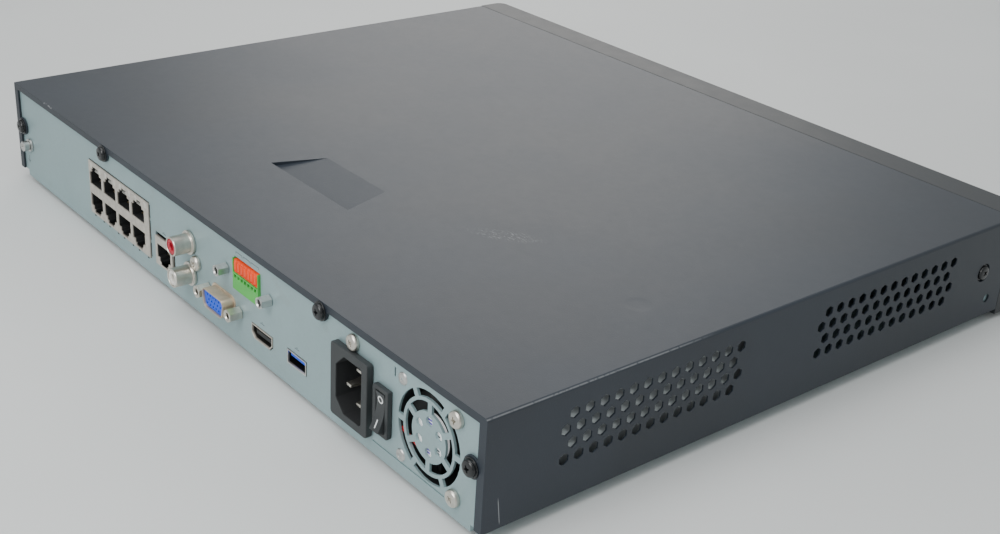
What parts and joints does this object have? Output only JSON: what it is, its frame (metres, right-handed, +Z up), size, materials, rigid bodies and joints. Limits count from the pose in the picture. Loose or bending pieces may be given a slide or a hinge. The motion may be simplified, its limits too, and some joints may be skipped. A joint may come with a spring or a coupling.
{
  "type": "digital video recorder",
  "caption": "Slim video recorder in a folded steel case, with camera, network, sound and video sockets, mains inlet, rocker switch and fan at the rear.",
  "frame": {"origin": "middle of the object's box on the surface that its feet stand on", "axes": "+Z up, the jack panel faces +Y, the front bezel faces -Y"},
  "size_m": [0.3744, 0.3158, 0.0494],
  "materials": {
    "powder_coat": "satin powder coat, worn at the rear corner",
    "zinc_steel": "pale zinc-plated sheet",
    "nickel": "warm satin nickel",
    "black_screw": "black oxide",
    "black_plastic": "fine matt moulding",
    "grey_plastic": "satin moulding",
    "rubber": "matt",
    "red_plastic": "satin moulding",
    "white_plastic": "satin moulding",
    "blue_plastic": "satin moulding",
    "orange_plastic": "satin moulding",
    "green_plastic": "satin moulding",
    "circuit_board": "solder mask",
    "aluminium": "cast and extruded, satin",
    "smoked_window": "smoked, polished"
  },
  "bodies": {
    "root": {"top_cover": "powder_coat", "base_chassis": "zinc_steel", "supply_case": "zinc_steel", "audio_screw": "nickel", "inlet_screw": "nickel", "fan_screw_upper": "nickel", "fan_screw_lower": "nickel", "ground_screw": "nickel", "camera_jacks_shield": "nickel", "network_jack_shield": "nickel", "audio_barrel_upper": "nickel", "audio_barrel_lower": "nickel", "vga_shell": "nickel", "vga_post_left": "nickel", "vga_post_right": "nickel", "terminal_post_left": "nickel", "terminal_post_right": "nickel", "hdmi_shell": "nickel", "usb_shell": "nickel", "front_usb_shell": "nickel", "inlet_blade_earth": "nickel", "inlet_blade_line": "nickel", "inlet_blade_neutral": "nickel", "cover_screw_rear_left": "black_screw", "cover_screw_rear_right": "black_screw", "cover_screw_rear_top_left": "black_screw", "cover_screw_rear_top_right": "black_screw", "cover_screw_side_left": "black_screw", "cover_screw_side_right": "black_screw", "front_bezel": "black_plastic", "camera_jacks_housing": "black_plastic", "network_jack_housing": "black_plastic", "hdmi_tongue": "black_plastic", "inlet_body": "black_plastic", "switch_case": "black_plastic", "fan_frame": "black_plastic", "foot_front_left": "rubber", "foot_front_right": "rubber", "foot_rear_left": "rubber", "foot_rear_right": "rubber", "audio_core_upper": "red_plastic", "audio_core_lower": "white_plastic", "vga_insert": "blue_plastic", "usb_tongue": "blue_plastic", "terminal_body": "green_plastic", "main_board": "circuit_board", "supply_board": "circuit_board", "heat_sink": "aluminium", "hard_drive": "aluminium", "indicator_window": "smoked_window"},
    "rocker": {"power_rocker": "grey_plastic"},
    "rotor": {"fan_rotor": "black_plastic"},
    "lever_1": {"terminal_lever_1": "orange_plastic"},
    "lever_2": {"terminal_lever_2": "orange_plastic"},
    "lever_3": {"terminal_lever_3": "orange_plastic"},
    "lever_4": {"terminal_lever_4": "orange_plastic"},
    "lever_5": {"terminal_lever_5": "orange_plastic"},
    "lever_6": {"terminal_lever_6": "orange_plastic"},
    "lever_7": {"terminal_lever_7": "orange_plastic"}
  },
  "joints": [
    {"name": "power_switch", "type": "hinge", "parent": "root", "child": "rocker", "pos_m": [-0.1299, 0.15035, 0.0237], "axis": [-1, 0, 0], "range_deg": [0, 20]},
    {"name": "fan_spin", "type": "hinge", "parent": "root", "child": "rotor", "pos_m": [-0.15515, 0.14115, 0.026], "axis": [0, 1, 0], "continuous": true},
    {"name": "lever_1_press", "type": "slide", "parent": "root", "child": "lever_1", "axis": [0, -1, 0], "range_m": [0, 0.001], "stiffness_N_per_m": 1500},
    {"name": "lever_2_press", "type": "slide", "parent": "root", "child": "lever_2", "axis": [0, -1, 0], "range_m": [0, 0.001], "stiffness_N_per_m": 1500},
    {"name": "lever_3_press", "type": "slide", "parent": "root", "child": "lever_3", "axis": [0, -1, 0], "range_m": [0, 0.001], "stiffness_N_per_m": 1500},
    {"name": "lever_4_press", "type": "slide", "parent": "root", "child": "lever_4", "axis": [0, -1, 0], "range_m": [0, 0.001], "stiffness_N_per_m": 1500},
    {"name": "lever_5_press", "type": "slide", "parent": "root", "child": "lever_5", "axis": [0, -1, 0], "range_m": [0, 0.001], "stiffness_N_per_m": 1500},
    {"name": "lever_6_press", "type": "slide", "parent": "root", "child": "lever_6", "axis": [0, -1, 0], "range_m": [0, 0.001], "stiffness_N_per_m": 1500},
    {"name": "lever_7_press", "type": "slide", "parent": "root", "child": "lever_7", "axis": [0, -1, 0], "range_m": [0, 0.001], "stiffness_N_per_m": 1500}
  ]
}
